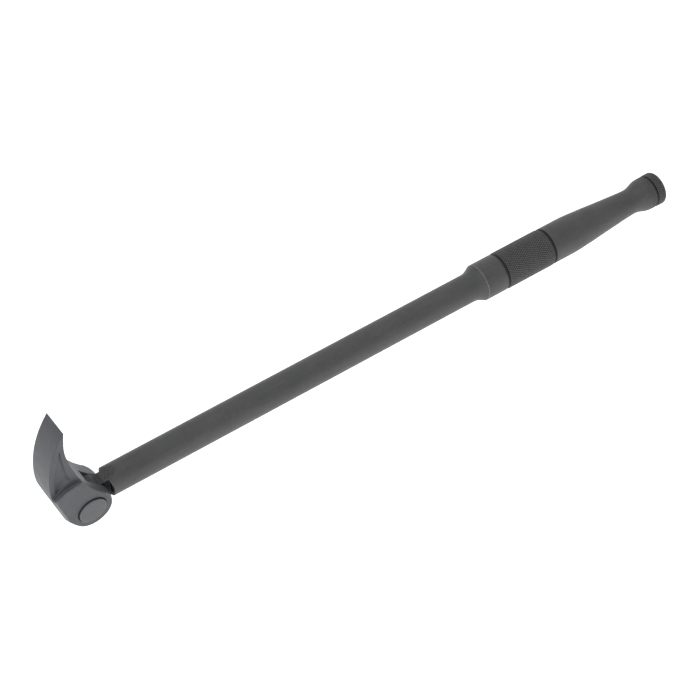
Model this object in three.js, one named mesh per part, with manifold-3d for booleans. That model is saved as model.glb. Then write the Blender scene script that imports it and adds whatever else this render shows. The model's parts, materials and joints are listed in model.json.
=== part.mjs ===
// Indexing pry bar: a curved chisel head on a splined pivot at the end of a long bar, released by
// a push button.
//
// Millimetres, +Z up. The origin is the centre of the flat butt end of the handle. The bar lies
// along X with its butt facing +X, so the head is at negative X. The blade stands up (+Z) and the
// button is on the -Y side. Every piece is drawn round the pivot axis (Y) and then moved to the
// pivot. "Near" means towards -Y and "far" towards +Y. Outlines are [x, z] pairs.

import * as THREE from "three";
import { mergeVertices } from "three/addons/utils/BufferGeometryUtils.js";
import Module from "manifold-3d";

const wasm = await Module();
wasm.setup();

// ---------------------------------------------------------------- driving dimensions
const PIVOT_TO_BUTT = 422.3; // pivot axis to the butt end face

// bar
const BAR_DATUM = 0.9; // the profile's lengths start this far from the pivot axis
const SHAFT_R = 9.0; // 18 mm round stock
const SHOULDER = 16.7; // pivot axis to the shoulders, where the round shaft ends beside the tongue
const SHOULDER_BOW = 50; // above the axis the shoulders bow towards the pivot, by z^2 over this
const SHOULDER_FILLET = 1.2; // between a shoulder and the tongue's side
const EYE_R = 12.2; // round eye at the end of the tongue
const TONGUE_HALF = 4.0; // half thickness of tongue and eye
const NECK_HALF = 6.85; // half height of the tongue behind the eye
const GRIP_R = 11.83; // plain part of the grip
const KNURL_R = 11.98; // over the knurled band
const GROOVE_R = 11.15; // floor of the grooves at both ends of the knurled band
const BUTT_R = 10.65; // knurled ring at the butt
const WAIST_R = 8.1; // thinnest part of the grip, ahead of the butt

// head
const END_R = 13.52; // round end of the cheeks
const END_CENTRE = [0.6, -1.4]; // its centre, a little off the pivot axis
const CHEEK_HALF = 12.0; // outer faces of the two cheeks
const CHEEK_ROUND = 0.8; // rounded rim of the cheek faces
const BACK_ROUND_DEPTH = 6.0; // larger rounding along the convex back and round end
const BACK_ROUND_WIDTH = 1.7;
const LAND_HALF = 10.4; // narrow land half way up the step from the blade's side to the cheek
const SLOT_HALF = 4.2; // slot between the cheeks
const SLOT_R = 17.7; // floor of the slot, round the pivot
const BLADE_HALF_ROOT = 8.8; // half width of the blade where it meets the cheeks
const BLADE_HALF_TIP = 8.7; // half width at the cutting edge
const BLADE_ROOT_Z = 27;
const BLADE_TIP_Z = 74.3;
const POCKET_HALF = 7.6; // floor of the weight-saving pocket in each side of the blade

// lock: the gear slides along the pivot axis and keys the near cheek to the eye
const TEETH = 24; // 15 degrees a notch
const GEAR_ROOT_R = 6.6;
const GEAR_TIP_R = 7.75;
const TOOTH_ROOT_HALF = 0.3; // half width of a tooth at its root, as a share of the pitch
const TOOTH_TIP_HALF = 0.16; // the same at its tip
const SPLINE_GAP = 0.16; // clearance of the internal splines round the gear
const GEAR_NEAR = -7.4; // near end of the teeth
const GEAR_FAR = 4.15; // far end of the teeth, where the flange starts
const GEAR_BOSS_R = 5.4;
const GEAR_COLLAR_R = GEAR_ROOT_R - 0.2; // collar joining the flange to the teeth
const GEAR_JOIN = 0.5; // length by which boss and collar run into the teeth
const GEAR_CHAMFER = 0.3;
const FLANGE_R = 8.75;
const FLANGE_END = 5.9;
const FLANGE_BORE_R = 9.0; // bore of the far cheek that the flange runs in

// button
const BUTTON_R = 8.7;
const BUTTON_FACE = -13.15; // proud of the near cheek
const BUTTON_BACK = -11.2;
const BUTTON_CHAMFER = 0.2; // at the back
const BUTTON_ROUND = 0.45; // rounded rim of the face
const BUTTON_ROUND_MID = [0.13, 0.17]; // middle of that rounding: in from the side, the face
const BUTTON_BORE_R = 9.05;
const BUTTON_BORE_FLOOR = -7.6;

// screw
const SCREW_R = 2.0;
const SCREW_END = -12.4;
const SCREW_END_CHAMFER = 0.35;
const SCREW_HEAD_R = 2.9;
const SCREW_HEAD_TOP = -2.6;
const SCREW_HEAD_CHAMFER = 0.25;
const SCREW_GAP = 0.15; // round the screw and past its end, in the button
const SCREW_GAP_IN_GEAR = 0.2;
const SOCKET_R = 1.45; // hexagon socket, over its corners
const SOCKET_FLOOR = -4.3;

// end cap and retaining ring
const CAP_R = 9.8;
const CAP_SEAT = 9.6;
const CAP_THICK = 1.2;
const CAP_FACE = CAP_SEAT + CAP_THICK;
const CAP_CHAMFER = 0.2;
const CAP_BORE_R = 9.95;
const VENT_R = 1.1;
const RING_NEAR = CAP_FACE + 0.1;
const RING_THICK = 0.9;
const RING_FAR = RING_NEAR + RING_THICK;
const RING_GROOVE_R = 10.6;
const RING_R = RING_GROOVE_R - 0.15;
const RING_INNER_R = 8.2;
const RING_END_R = 9.0; // where the slope from each end of the ring to its lug starts
const LUG_R = 6.4; // inner end of the lugs
const LUG_HOLE_R = 0.55;
const LUG_HOLE_PLACE = [7.35, 243.5]; // radius, degrees

// return spring
const SPRING_MEAN_R = 4.1;
const SPRING_WIRE_R = 0.55;
const SPRING_TURNS = 6;
const SPRING_END_TURNS = 0.9; // turns at each end that lie nearly flat
const SPRING_END_RISE = 0.054; // share of the spring's length that each of them climbs
const SPRING_GAP = 0.1; // at each end of the spring
const SPRING_POCKET_R = 5.0;
const SPRING_POCKET_FLOOR = -5.0;

// allowances
const SEAT_GAP = 0.05; // between faces that rest on each other
const OVERLAP = 0.01; // keeps faces of solids being joined or cut from coinciding
const OVERCUT = 1; // how far a cutter runs on into space that is already empty
const BEYOND = 20; // clear of the outermost faces

// ---------------------------------------------------------------- solids
// A three.js geometry as a closed solid, turned right side out.
function solid(geometry) {
  const bare = geometry.index ? geometry.toNonIndexed() : geometry.clone();
  bare.deleteAttribute("uv");
  bare.deleteAttribute("normal");
  const merged = mergeVertices(bare, 1e-4);
  const index = merged.index.array;
  const triangles = [];
  for (let i = 0; i < index.length; i += 3) {
    const [a, b, c] = index.subarray(i, i + 3);
    if (a !== b && b !== c && c !== a) triangles.push([a, b, c]);
  }
  const make = (corners) =>
    new wasm.Manifold(
      new wasm.Mesh({
        numProp: 3,
        vertProperties: new Float32Array(merged.attributes.position.array),
        triVerts: new Uint32Array(corners.flat()),
      }),
    );
  const made = make(triangles);
  return made.volume() < 0 ? make(triangles.map(([a, b, c]) => [a, c, b])) : made;
}

function geometryOf(body) {
  const mesh = body.getMesh();
  const positions = new Float32Array(mesh.vertProperties);
  const geometry = new THREE.BufferGeometry();
  geometry.setAttribute("position", new THREE.BufferAttribute(positions, 3));
  geometry.setIndex(new THREE.BufferAttribute(new Uint32Array(mesh.triVerts), 1));
  geometry.computeVertexNormals();
  return geometry;
}

const union = (first, ...rest) => rest.reduce((a, b) => a.add(b), first);
const cut = (first, ...rest) => rest.reduce((a, b) => a.subtract(b), first);

// An outline extruded from y0 to y1. Both rims may be rounded inwards, `width` across the face
// and `depth` down the side.
function slabGeometry(outline, y0, y1, { depth = 0, width = depth, segments = 3 } = {}) {
  const shape = new THREE.Shape(outline.map(([x, z]) => new THREE.Vector2(x, z)));
  const geometry = new THREE.ExtrudeGeometry(shape, {
    depth: y1 - y0 - 2 * depth,
    bevelEnabled: depth > 0,
    bevelThickness: depth,
    bevelSize: width,
    bevelOffset: -width,
    bevelSegments: segments,
    steps: 1,
    curveSegments: 1,
  });
  geometry.rotateX(Math.PI / 2);
  geometry.translate(0, y1 - depth, 0);
  return geometry;
}

const slab = (outline, y0, y1, rim) => solid(slabGeometry(outline, y0, y1, rim));

// A round solid about the Y axis. The profile of [radius, y] is closed to the axis at both ends.
function turned(profile, segments = 72) {
  const closed = [[0, profile[0][1]], ...profile, [0, profile.at(-1)[1]]];
  const points = closed.map(([radius, y]) => new THREE.Vector2(radius, y));
  return solid(new THREE.LatheGeometry(points, segments));
}

const disc = (radius, y0, y1, segments) => turned([[radius, y0], [radius, y1]], segments);

// ---------------------------------------------------------------- outlines
// Angles are degrees from +X towards +Z.
function polar(radius, degrees) {
  const angle = (degrees * Math.PI) / 180;
  return [radius * Math.cos(angle), radius * Math.sin(angle)];
}

const arc = (radius, from, to, steps) =>
  Array.from({ length: steps + 1 }, (_, i) => polar(radius, from + ((to - from) * i) / steps));

// A smooth curve through the points.
function smooth(points, steps) {
  const knots = points.map(([x, z]) => new THREE.Vector3(x, z, 0));
  const curve = new THREE.CatmullRomCurve3(knots, false, "centripetal");
  return curve.getSpacedPoints(steps).map((point) => [point.x, point.y]);
}

// Straight-sided spline outline, `grow` larger all round than the gear.
function splineOutline(grow) {
  const pitch = (2 * Math.PI) / TEETH;
  const widen = grow / GEAR_TIP_R;
  const rootHalf = TOOTH_ROOT_HALF * pitch + widen;
  const tipHalf = TOOTH_TIP_HALF * pitch + widen;
  const tooth = [
    [GEAR_ROOT_R + grow, -rootHalf],
    [GEAR_TIP_R + grow, -tipHalf],
    [GEAR_TIP_R + grow, tipHalf],
    [GEAR_ROOT_R + grow, rootHalf],
  ];
  return Array.from({ length: TEETH }, (_, i) =>
    tooth.map(([radius, offset]) => {
      const angle = i * pitch + offset;
      return [radius * Math.cos(angle), radius * Math.sin(angle)];
    }),
  ).flat();
}

// ---------------------------------------------------------------- head
// back of the head, from the cutting edge down to the round end
const CONVEX = [
  [-11.35, BLADE_TIP_Z], [-14.75, 68.5], [-17.65, 62.2], [-19.9, 55.8], [-21.5, 49.4],
  [-22.7, 41.4], [-23.15, 33.4], [-22.95, 27], [-22.1, 20.65], [-20.65, 15.15],
  [-19, 9.7], [-17.5, 4.9], [-16.3, 1], [-15.15, -2.2], [-13.4, -5.05], [-11.6, -7.75],
];
// the other side, from the round end up to the cutting edge
const CONCAVE = [
  [14, 0.5], [13.4, 2.6], [11.3, 5.8], [7.2, 10.2], [3.5, 14.7],
  [0.5, 19.1], [-2.2, 23.7], [-5.45, 32], [-8, 40], [-9.85, 47.3],
  [-11.2, 54], [-11.75, 60], [-11.6, 66.6], [-11, 74],
];
// upper edges of the cheek's face and of the land, from the concave side to the back
const FACE_EDGE = [
  [-4.01, 27.18], [-6.62, 27.82], [-8.34, 27.89], [-10.17, 27.82], [-11.98, 27.48],
  [-13.8, 27.04], [-15.52, 26.35], [-17.18, 25.49], [-18.81, 24.57], [-20.34, 23.47],
  [-22.4, 21.83],
];
const LAND_EDGE = [
  [-4.11, 27.43], [-6.85, 28.17], [-8.69, 28.34], [-10.48, 28.29], [-12.33, 28.01],
  [-14.14, 27.58], [-15.87, 26.88], [-17.49, 25.94], [-19.08, 24.92], [-20.54, 23.76],
  [-22.5, 22.16],
];
// edges of the blade's pocket
const POCKET_BACK = [
  [-14.71, 60.58], [-16.12, 56.34], [-17.89, 50.19], [-19.15, 43.5], [-19.81, 36.49],
  [-19.95, 30.75], [-19.72, 26.82],
];
const POCKET_BOTTOM = [
  [-19.21, 26.34], [-18.14, 27.31], [-16.53, 28.27], [-14.83, 29.04], [-13.06, 29.58],
  [-11.28, 29.96], [-9.42, 30.01], [-8.1, 29.85],
];
const POCKET_FRONT = [
  [-7.46, 30.12], [-9.18, 33.62], [-11.4, 39.79], [-13.23, 46.58], [-14.21, 53.37],
  [-14.7, 60.47],
];

const endArc = (from, to, steps) =>
  arc(END_R, from, to, steps).map(([x, z]) => [x + END_CENTRE[0], z + END_CENTRE[1]]);
const roundEnd = endArc(224, 363, 24).slice(1, -1);

// The whole side outline, a little narrower towards the cutting edge.
function buildBlade() {
  const outline = [...smooth(CONVEX, 34), ...roundEnd, ...smooth(CONCAVE, 34)];
  const geometry = slabGeometry(outline, -BLADE_HALF_ROOT, BLADE_HALF_ROOT);
  const position = geometry.attributes.position;
  for (let i = 0; i < position.count; i++) {
    const height = (position.getZ(i) - BLADE_ROOT_Z) / (BLADE_TIP_Z - BLADE_ROOT_Z);
    const share = THREE.MathUtils.clamp(height, 0, 1);
    const half = THREE.MathUtils.lerp(BLADE_HALF_ROOT, BLADE_HALF_TIP, share);
    position.setY(i, Math.sign(position.getY(i)) * half);
  }
  const pocket = [
    ...smooth(POCKET_BACK, 16),
    ...smooth(POCKET_BOTTOM, 12),
    ...smooth(POCKET_FRONT, 12),
  ];
  return cut(
    solid(geometry),
    slab(pocket, -BEYOND, -POCKET_HALF),
    slab(pocket, POCKET_HALF, BEYOND),
  );
}

// The side outline of the cheeks, below the given upper edge.
const cheekOutline = (edge) => [
  ...smooth(edge, 16),
  ...smooth([edge.at(-1), ...CONVEX.slice(8)], 22).slice(1),
  ...roundEnd,
  ...smooth([...CONCAVE.slice(0, 7), edge[0]], 20).slice(0, -1),
];

// Both cheeks in one, stepping down to the blade in two flights with the land between them.
function buildCheeks() {
  // the larger rounding is only for the back and round end, so the rest stands clear
  const backOutline = [
    [-2, 45], [-30, 45],
    ...smooth(CONVEX.slice(5), 30),
    ...endArc(224, 400, 34),
    [30, 9.0], [30, 45],
  ];
  const backHalf = CHEEK_HALF + OVERLAP;
  return union(
    slab(cheekOutline(FACE_EDGE), -CHEEK_HALF, CHEEK_HALF, { depth: CHEEK_ROUND }),
    slab(cheekOutline(LAND_EDGE), -LAND_HALF, LAND_HALF),
  ).intersect(
    slab(backOutline, -backHalf, backHalf, {
      depth: BACK_ROUND_DEPTH,
      width: BACK_ROUND_WIDTH,
      segments: 5,
    }),
  );
}

function buildHead() {
  const slotOutline = [
    ...arc(SLOT_R, 40, 196, 36),
    [-30, -8], [-30, -30], [40, -30], [40, 12.2],
  ];
  const bores = union(
    disc(BUTTON_BORE_R, -BEYOND, BUTTON_BORE_FLOOR, 96),
    slab(splineOutline(SPLINE_GAP), BUTTON_BORE_FLOOR - OVERCUT, 0),
    disc(FLANGE_BORE_R, 0, CAP_SEAT + OVERCUT),
    disc(CAP_BORE_R, CAP_SEAT, BEYOND),
    disc(RING_GROOVE_R, RING_NEAR - SEAT_GAP, RING_FAR + 2 * SEAT_GAP),
  );
  return cut(
    union(buildBlade(), buildCheeks()),
    slab(slotOutline, -SLOT_HALF, SLOT_HALF),
    bores,
  );
}

// ---------------------------------------------------------------- bar: tongue, shaft and grip
// [distance from the datum, radius]
const BAR_LENGTH = PIVOT_TO_BUTT - BAR_DATUM;
const BAR_PROFILE = [
  // shaft, flaring into the grip
  [3, SHAFT_R], [150, SHAFT_R], [270.5, SHAFT_R + 0.02], [272.4, 9.1], [273.6, 9.25],
  [274.9, 9.6], [276.2, 10.08], [277.6, 10.75], [278.7, 11.33], [279.3, 11.62],
  [280.2, GRIP_R - 0.03], [294.1, GRIP_R],
  // knurled band between two grooves
  [294.5, GROOVE_R + 0.15], [294.8, GROOVE_R], [295.8, GROOVE_R], [296.1, GROOVE_R + 0.15],
  [296.5, KNURL_R], [330.2, KNURL_R],
  [330.6, GROOVE_R + 0.15], [330.9, GROOVE_R], [331.9, GROOVE_R], [332.2, GROOVE_R + 0.15],
  // grip, tapering to the waist
  [332.6, GRIP_R], [349.5, GRIP_R], [353.4, 11.6], [358.0, 11.26], [364.5, 10.78],
  [373.3, 10.0], [381.8, 9.31], [390.4, 8.58], [395.5, 8.22], [398.4, WAIST_R],
  // swelling to the butt
  [400.6, 8.22], [402.8, 8.62], [404.7, 9.2], [406.4, 9.78], [407.8, 10.17],
  [409.4, 10.4], [411.0, 10.49], [413.7, 10.49],
  // groove and butt ring
  [414.1, 9.85], [415.5, 9.85], [415.85, BUTT_R], [420.8, BUTT_R], [BAR_LENGTH, 10.1],
];
// top of the tongue, rising towards the shaft
const NECK_RAMP = [
  [13.1, NECK_HALF], [14.5, 7.05], [16.7, 7.55], [19.3, 8.17], [21.9, 8.78], [23.5, 9.2],
];

function buildBar() {
  const shaft = turned(BAR_PROFILE.map(([x, radius]) => [radius, x]), 64)
    .rotate([0, 0, -90])
    .translate([BAR_DATUM, 0, 0]);
  const overNeck = [[-20, NECK_HALF], ...smooth(NECK_RAMP, 12), [23.5, 20], [-20, 20]];
  const underNeck = overNeck.map(([x, z]) => [x, -z]).reverse();
  const bowTop = 12;
  const besideTongue = [
    [-40, -40], [SHOULDER, -40], [SHOULDER, 0],
    ...Array.from({ length: bowTop }, (_, i) => [SHOULDER - (i + 1) ** 2 / SHOULDER_BOW, i + 1]),
    [SHOULDER - bowTop ** 2 / SHOULDER_BOW, 40], [-40, 40],
  ];
  const fillet = { depth: SHOULDER_FILLET, segments: 4 };
  const shaftWithTongue = cut(
    shaft,
    slab(overNeck, -BEYOND, BEYOND),
    slab(underNeck, -BEYOND, BEYOND),
    slab(besideTongue, TONGUE_HALF, 30, fillet),
    slab(besideTongue, -30, -TONGUE_HALF, fillet),
  );
  const splineHalf = TONGUE_HALF + OVERCUT;
  return cut(
    union(shaftWithTongue, disc(EYE_R, -TONGUE_HALF, TONGUE_HALF, 96)),
    slab(splineOutline(SPLINE_GAP), -splineHalf, splineHalf),
  );
}

// ---------------------------------------------------------------- lock
// Teeth with a boss at the near end and a flange at the far end.
function buildGear() {
  const bossEnd = BUTTON_BACK + SEAT_GAP;
  const boss = turned([
    [GEAR_BOSS_R - GEAR_CHAMFER, bossEnd],
    [GEAR_BOSS_R, bossEnd + GEAR_CHAMFER],
    [GEAR_BOSS_R, GEAR_NEAR + GEAR_JOIN],
  ], 64);
  const flange = turned([
    [GEAR_COLLAR_R, GEAR_FAR - GEAR_JOIN],
    [GEAR_COLLAR_R, GEAR_FAR],
    [FLANGE_R, GEAR_FAR],
    [FLANGE_R, FLANGE_END - GEAR_CHAMFER],
    [FLANGE_R - GEAR_CHAMFER, FLANGE_END],
  ]);
  return cut(
    union(slab(splineOutline(0), GEAR_NEAR, GEAR_FAR + OVERLAP), boss, flange),
    disc(SPRING_POCKET_R, SPRING_POCKET_FLOOR, BEYOND, 48),
    disc(SCREW_R + SCREW_GAP_IN_GEAR, -BEYOND, 0, 36),
  );
}

function buildButton() {
  const [midInset, midDepth] = BUTTON_ROUND_MID;
  return cut(
    turned([
      [BUTTON_R - BUTTON_CHAMFER, BUTTON_BACK],
      [BUTTON_R, BUTTON_BACK - BUTTON_CHAMFER],
      [BUTTON_R, BUTTON_FACE + BUTTON_ROUND],
      [BUTTON_R - midInset, BUTTON_FACE + midDepth],
      [BUTTON_R - BUTTON_ROUND, BUTTON_FACE],
    ], 96),
    disc(SCREW_R + SCREW_GAP, SCREW_END - SCREW_GAP, 0, 36),
  );
}

// Holds the button to the gear; its head sits on the floor of the spring pocket.
function buildScrew() {
  const underHead = SPRING_POCKET_FLOOR + SEAT_GAP;
  const hexagon = arc(SOCKET_R, 0, 360, 6).slice(0, -1);
  return cut(
    turned([
      [SCREW_R - SCREW_END_CHAMFER, SCREW_END],
      [SCREW_R, SCREW_END + SCREW_END_CHAMFER],
      [SCREW_R, underHead],
      [SCREW_HEAD_R, underHead],
      [SCREW_HEAD_R, SCREW_HEAD_TOP - SCREW_HEAD_CHAMFER],
      [SCREW_HEAD_R - SCREW_HEAD_CHAMFER, SCREW_HEAD_TOP],
    ], 40),
    slab(hexagon, SOCKET_FLOOR, 0),
  );
}

// ---------------------------------------------------------------- return spring
// Centre line of the wire, from the floor of the gear's pocket to the cap.
class Helix extends THREE.Curve {
  getPoint(t, target = new THREE.Vector3()) {
    const start = SPRING_POCKET_FLOOR + SPRING_GAP + SPRING_WIRE_R;
    const end = CAP_SEAT - SPRING_GAP - SPRING_WIRE_R;
    const flat = SPRING_END_TURNS / SPRING_TURNS;
    const rise = SPRING_END_RISE;
    let climbed;
    if (t < flat) climbed = (t / flat) * rise;
    else if (t > 1 - flat) climbed = 1 - ((1 - t) / flat) * rise;
    else climbed = rise + ((t - flat) / (1 - 2 * flat)) * (1 - 2 * rise);
    const angle = t * SPRING_TURNS * 2 * Math.PI;
    return target.set(
      SPRING_MEAN_R * Math.cos(angle),
      start + climbed * (end - start),
      SPRING_MEAN_R * Math.sin(angle),
    );
  }
}

function buildSpring() {
  const wire = new THREE.Shape();
  wire.absarc(0, 0, SPRING_WIRE_R, 0, 2 * Math.PI, false);
  return solid(
    new THREE.ExtrudeGeometry(wire, {
      steps: 132,
      curveSegments: 4,
      bevelEnabled: false,
      extrudePath: new Helix(),
    }),
  );
}

// ---------------------------------------------------------------- end cap and retaining ring
function buildCap() {
  const back = CAP_SEAT + SEAT_GAP;
  return cut(
    turned([[CAP_R - CAP_CHAMFER, back], [CAP_R, back + CAP_CHAMFER], [CAP_R, CAP_FACE]]),
    disc(VENT_R, CAP_SEAT - OVERCUT, BEYOND, 24),
  );
}

// Open towards -Z, with an inward lug beside the gap at each end.
function buildRing() {
  const mirrored = ([x, z]) => [-x, z];
  const lug = [
    polar(RING_END_R, 256),
    polar(RING_INNER_R, 252),
    ...arc(LUG_R, 250, 244, 2),
    ...arc(LUG_R, 238, 236, 1),
  ];
  const outline = [
    ...arc(RING_R, -76, 256, 64),
    ...lug,
    ...arc(RING_INNER_R, 232, -52, 48),
    ...lug.map(mirrored).reverse(),
  ];
  const holePlace = polar(...LUG_HOLE_PLACE);
  const holes = [holePlace, mirrored(holePlace)].map(([x, z]) =>
    disc(LUG_HOLE_R, RING_NEAR - OVERCUT, BEYOND, 16).translate([x, 0, z]),
  );
  return cut(slab(outline, RING_NEAR, RING_FAR), ...holes);
}

// ---------------------------------------------------------------- materials
const steel = (color, { roughness, metalness }) =>
  new THREE.MeshStandardMaterial({ color, roughness, metalness });
const blackSteel = () => steel(0x4d4e4f, { roughness: 0.62, metalness: 0.75 });
const satinSteel = () => steel(0x6b6d70, { roughness: 0.55, metalness: 0.8 });
const brightSteel = () => steel(0x9a9b9c, { roughness: 0.35, metalness: 0.9 });
const springSteel = () => steel(0x7a7b7d, { roughness: 0.3, metalness: 0.95 });

// ---------------------------------------------------------------- scene graph
const group = new THREE.Group();
const pivot = new THREE.Group();
pivot.position.set(-PIVOT_TO_BUTT, 0, 0);
group.add(pivot);

function add(name, body, material) {
  const mesh = new THREE.Mesh(geometryOf(body), material);
  mesh.name = name;
  pivot.add(mesh);
}
add("bar", buildBar(), blackSteel());
add("pry_head", buildHead(), satinSteel());
add("lock_gear", buildGear(), brightSteel());
add("release_button", buildButton(), satinSteel());
add("button_screw", buildScrew(), blackSteel());
add("return_spring", buildSpring(), springSteel());
add("end_cap", buildCap(), blackSteel());
add("retaining_ring", buildRing(), springSteel());

export default group;
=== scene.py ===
# An indexing pry bar: a curved blade on a slotted, splined head, and a round bar with a knurled grip.
# The bar lies along X with its butt at x = 0 and the head at the -X end, its blade standing up (+Z).
# The head turns about the pivot axis, which runs along Y; the release button is at its -Y end.
# Shapes are worked out in millimetres from the pivot axis, and make_object moves them to the frame.
import json
import math
import bpy
import numpy as np
from mathutils import Matrix, Vector


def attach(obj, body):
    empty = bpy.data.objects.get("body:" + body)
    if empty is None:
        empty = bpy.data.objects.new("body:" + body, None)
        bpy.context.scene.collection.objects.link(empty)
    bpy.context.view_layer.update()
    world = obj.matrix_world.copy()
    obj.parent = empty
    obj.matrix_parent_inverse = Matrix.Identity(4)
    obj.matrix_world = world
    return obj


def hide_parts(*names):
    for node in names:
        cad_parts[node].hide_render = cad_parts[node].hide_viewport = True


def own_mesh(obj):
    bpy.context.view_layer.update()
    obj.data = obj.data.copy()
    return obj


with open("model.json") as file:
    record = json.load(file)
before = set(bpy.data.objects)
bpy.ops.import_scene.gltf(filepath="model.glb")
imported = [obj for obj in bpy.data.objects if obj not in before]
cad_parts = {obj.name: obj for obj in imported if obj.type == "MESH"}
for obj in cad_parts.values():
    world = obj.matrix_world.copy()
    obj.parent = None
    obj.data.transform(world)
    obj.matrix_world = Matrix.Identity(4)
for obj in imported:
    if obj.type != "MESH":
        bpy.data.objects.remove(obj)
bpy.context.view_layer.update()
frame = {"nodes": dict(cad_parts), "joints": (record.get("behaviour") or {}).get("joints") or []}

JOINTS = {joint["name"]: joint for joint in frame["joints"]}
PIVOT_X = float(JOINTS["head_index"]["pos_m"][0])  # metres
PIVOT_TO_BUTT = -PIVOT_X * 1000.0

MESH_STEP = 0.3  # grid of the pieces meshed from a distance field

# Dimensions shared between pieces
SHAFT_R = 9.0
EYE_R = 12.2  # round end of the bar's tongue
TONGUE_HALF = 4.0
SLOT_HALF = 4.2  # the slot in the head that takes the tongue

# The splined hole through head and tongue
TEETH = 24
TOOTH_PHASE = [0, 0.16, 0.30, 0.5]  # in tooth pitches from the middle of a tooth
TOOTH_RADIUS = [7.75, 7.75, 6.6, 6.6]
HOLE_GROWTH = 0.16  # the hole's radius over the spline's
SPLINE_SLOPE = 0.8  # scales the radial gap, to allow for the slanting flanks


# ------------------------------------------------------------------ mesh helpers
def make_object(name, vertices, faces, attributes, smooth=True, sharp_degrees=None, normals=None):
    """An object from millimetre vertices. A zero normal is left to the faces round it."""
    placed = np.asarray(vertices, dtype=float) / 1000.0
    placed[:, 0] += PIVOT_X
    mesh = bpy.data.meshes.new(name)
    mesh.from_pydata(placed.tolist(), [], faces)
    mesh.update()
    mesh.polygons.foreach_set("use_smooth", np.full(len(mesh.polygons), smooth))
    for key, values in attributes.items():
        attribute = mesh.attributes.new(key, "FLOAT", "POINT")
        attribute.data.foreach_set("value", np.asarray(values, dtype=np.float32))
    if sharp_degrees is not None:
        mesh.set_sharp_from_angle(angle=math.radians(sharp_degrees))
    if normals is not None:
        corner = np.empty(len(mesh.loops), dtype=np.int64)
        mesh.loops.foreach_get("vertex_index", corner)
        mesh.normals_split_custom_set(normals[corner].tolist())
    mesh.update()
    obj = bpy.data.objects.new(name, mesh)
    bpy.context.scene.collection.objects.link(obj)
    return obj


def outward(vertices, faces):
    """The faces of a closed solid, turned over if its signed volume is negative."""
    volume = sum(
        np.dot(vertices[f[0]], np.cross(vertices[f[i]], vertices[f[i + 1]]))
        for f in faces for i in range(1, len(f) - 1)
    )
    return [f[::-1] for f in faces] if volume < 0 else faces


def blend(a, b, knot_a, knot_b, at):
    """The line that is a at knot_a and b at knot_b."""
    return (knot_b - at) / (knot_b - knot_a) * a + (at - knot_a) / (knot_b - knot_a) * b


def smooth_curve(points, steps):
    """Centripetal Catmull-Rom through the points, at even spacing."""
    p = np.asarray(points, dtype=float)
    p = np.vstack([2 * p[0] - p[1], p, 2 * p[-1] - p[-2]])
    curve = []
    for i in range(1, len(p) - 2):
        p0, p1, p2, p3 = p[i - 1:i + 3]
        knots = [0.0]
        for a, b in ((p0, p1), (p1, p2), (p2, p3)):
            knots.append(knots[-1] + max(np.linalg.norm(b - a) ** 0.5, 1e-6))
        t0, t1, t2, t3 = knots
        for at in np.linspace(t1, t2, 24, endpoint=False):
            middle = blend(p1, p2, t1, t2, at)
            before = blend(blend(p0, p1, t0, t1, at), middle, t0, t2, at)
            after = blend(middle, blend(p2, p3, t2, t3, at), t1, t3, at)
            curve.append(blend(before, after, t1, t2, at))
    curve.append(p[-2])
    curve = np.array(curve)
    length = np.concatenate([[0], np.cumsum(np.linalg.norm(np.diff(curve, axis=0), axis=1))])
    even = np.linspace(0, length[-1], steps + 1)
    return np.c_[np.interp(even, length, curve[:, 0]), np.interp(even, length, curve[:, 1])]


def arc(radius, start, stop):
    angle = np.radians(np.linspace(start, stop, 61))
    return np.c_[radius * np.cos(angle), radius * np.sin(angle)]


# ------------------------------------------------------------------ distance fields
# A distance field is negative inside the solid.
def clip01(value):
    return np.clip(value, 0, 1)


def poly_distance(points, polygon):
    """Signed distance of 2D points to a closed polygon."""
    nearest = np.full(len(points), 1e18)
    inside = np.zeros(len(points), bool)
    for a, b in zip(polygon, np.roll(polygon, -1, axis=0)):
        side = b - a
        length2 = float(side @ side)
        if length2 < 1e-12:
            continue
        offset = points - a
        along = np.clip((offset @ side) / length2, 0, 1)
        dx = offset[:, 0] - along * side[0]
        dz = offset[:, 1] - along * side[1]
        np.minimum(nearest, dx * dx + dz * dz, out=nearest)
        if a[1] != b[1]:
            crosses = (a[1] > points[:, 1]) != (b[1] > points[:, 1])
            inside ^= crosses & (
                points[:, 0] < side[0] * (points[:, 1] - a[1]) / side[1] + a[0]
            )
    return np.where(inside, -1.0, 1.0) * np.sqrt(nearest)


class OutlineField:
    """A polygon's signed distance in XZ, tabulated over the head and read back bilinearly."""

    LOW, HIGH = (-26.0, -17.5), (18.0, 78.0)
    STEP = 0.12

    def __init__(self, polygon):
        axes = [
            low + self.STEP * np.arange(int((high - low) / self.STEP) + 2)
            for low, high in zip(self.LOW, self.HIGH)
        ]
        x, z = np.meshgrid(*axes, indexing="ij")
        self.table = poly_distance(np.c_[x.ravel(), z.ravel()], polygon).reshape(x.shape)

    def __call__(self, x, z):
        table = self.table
        u = np.clip((x - self.LOW[0]) / self.STEP, 0, table.shape[0] - 1.001)
        v = np.clip((z - self.LOW[1]) / self.STEP, 0, table.shape[1] - 1.001)
        i, j = u.astype(int), v.astype(int)
        u, v = u - i, v - j
        below = table[i, j] * (1 - u) + table[i + 1, j] * u
        above = table[i, j + 1] * (1 - u) + table[i + 1, j + 1] * u
        return below * (1 - v) + above * v


def rounded(a, b, radius_a, radius_b=None):
    """Where a and b overlap, with their shared edge rounded, radius_a in a and radius_b in b."""
    radius_b = radius_a if radius_b is None else radius_b
    stretch = radius_a / radius_b
    p, q = a + radius_a, (b + radius_b) * stretch
    outside = np.hypot(np.maximum(p, 0), np.maximum(q, 0))
    return np.minimum(np.maximum(p, q), 0) + outside - radius_a


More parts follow.
